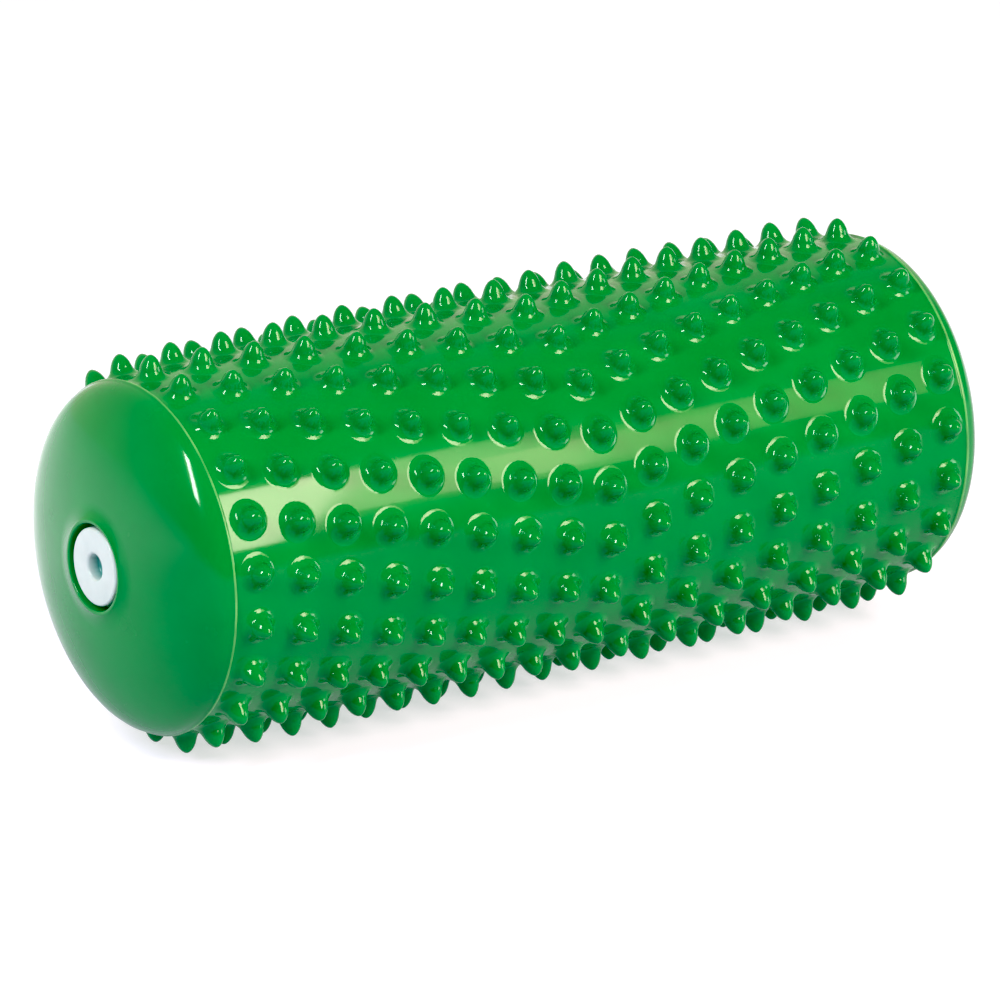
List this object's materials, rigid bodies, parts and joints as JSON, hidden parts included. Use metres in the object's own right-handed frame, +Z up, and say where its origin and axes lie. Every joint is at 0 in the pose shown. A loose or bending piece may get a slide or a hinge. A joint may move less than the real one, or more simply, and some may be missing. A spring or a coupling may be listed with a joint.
{
  "type": "foot massage roller",
  "caption": "Air-filled soft roller with domed ends and rings of blunt spikes, rolled under the feet or along muscles, with a needle valve plugged into one end.",
  "frame": {"origin": "bottom centre of the roller, on the surface that its lowest spike tips rest on", "axes": "+X along the roller from the valve end to the plain end, +Z up, -Y the long side seen first"},
  "size_m": [0.1904, 0.0794, 0.0794],
  "materials": {
    "green_pvc": "soft glossy vinyl, slightly translucent",
    "white_pvc": "smooth semi-gloss vinyl",
    "seal_rubber": "matte"
  },
  "bodies": {
    "roller": {"roller_shell": "green_pvc"},
    "valve": {"valve_plug": "white_pvc", "valve_seal": "seal_rubber"}
  },
  "joints": [
    {"name": "valve_plug_pull", "type": "slide", "parent": "roller", "child": "valve", "axis": [-1, 0, 0], "range_m": [0, 0.014]}
  ]
}
